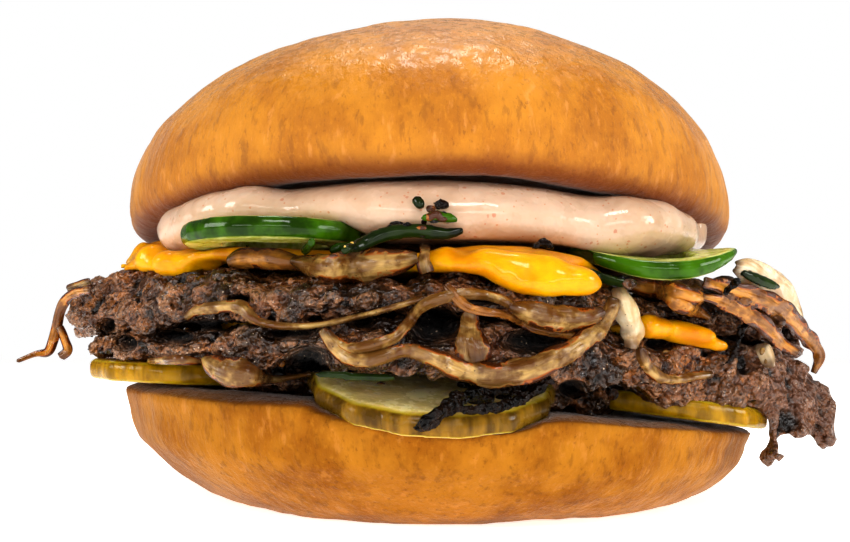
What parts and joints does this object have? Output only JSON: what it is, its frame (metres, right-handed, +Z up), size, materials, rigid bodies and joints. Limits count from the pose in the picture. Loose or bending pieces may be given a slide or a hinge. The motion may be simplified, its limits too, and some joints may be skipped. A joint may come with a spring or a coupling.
{
  "type": "hamburger",
  "caption": "Smashed-patty hamburger in a glossy bun, dressed with melted cheese, sauce, fried onions, green pepper rings and pickle slices.",
  "frame": {"origin": "on the flat foot of the bottom bun, under the middle of the burger, so z = 0 is the table", "axes": "+Z up; -Y out of the dressed front that the picture shows; +X to the right as seen from the front"},
  "size_m": [0.1424, 0.1267, 0.0878],
  "materials": {
    "crust": "baked, egg-washed bread crust, glossy on top, fine mottled grain",
    "meat": "seared minced beef, craggy, greasy",
    "cheese": "melted processed cheese, smooth and glossy",
    "sauce": "thick pinkish beige burger sauce, glossy",
    "onion": "fried onion, translucent tan with browned edges",
    "brown_onion": "well browned fried onion, glossy",
    "char": "charred black crust with a greasy gloss",
    "pepper_green": "fresh green pepper, waxy skin and pale flesh",
    "pepper_dark_green": "fried dark green pepper skin, glossy",
    "pickle": "pickled cucumber, wet, olive skin and pale flesh"
  },
  "bodies": {
    "root": {"pickle_front": "pickle", "pickle_left": "pickle", "pickle_right": "pickle", "pickle_back": "pickle", "pickle_back_left": "pickle", "bun_bottom": "crust", "patty_lower": "meat", "cheese_lower": "cheese", "patty_upper": "meat", "cheese_upper": "cheese", "bun_top": "crust", "jalapeno_left": "pepper_green", "jalapeno_right": "pepper_green", "jalapeno_back": "pepper_green", "jalapeno_back_right": "pepper_green", "onion_bed": "onion", "sauce": "sauce", "onion_petal_front": "onion", "onion_petal_left": "brown_onion", "onion_petal_right": "brown_onion", "onion_petal_tall": "onion", "jalapeno_strip": "pepper_dark_green", "jalapeno_cap": "pepper_green", "jalapeno_tip": "pepper_dark_green", "charred_tip": "brown_onion", "jalapeno_dice_left": "pepper_green", "jalapeno_dice_middle": "pepper_green", "jalapeno_strip_right": "pepper_dark_green", "jalapeno_strip_far_right": "pepper_dark_green", "charred_crumb_front": "char", "onion_petal_back": "onion", "onion_petal_back_left": "brown_onion", "onion_strand_left": "onion", "onion_strand_curved": "onion", "onion_strand_brown": "brown_onion", "onion_petal_front_right": "onion", "onion_petal_middle": "onion", "onion_loop_front": "onion", "onion_petal_right_middle": "onion", "onion_curl_front": "onion", "onion_petal_olive": "onion", "onion_strand_low_right": "brown_onion", "onion_petal_left_low": "brown_onion", "onion_slice_left": "onion", "onion_edge_left": "brown_onion", "onion_fold_left": "brown_onion", "onion_tip_left": "onion", "onion_edge_right": "brown_onion", "onion_strand_right": "brown_onion", "charred_strand_right": "char", "charred_lump_right": "char", "onion_bit_right": "onion", "jalapeno_strip_shadow": "pepper_dark_green", "charred_crust_front": "char", "charred_crust_arm": "char", "onion_strand_back": "onion", "onion_strand_back_right": "brown_onion", "onion_strand_back_left": "onion"}
  },
  "joints": []
}
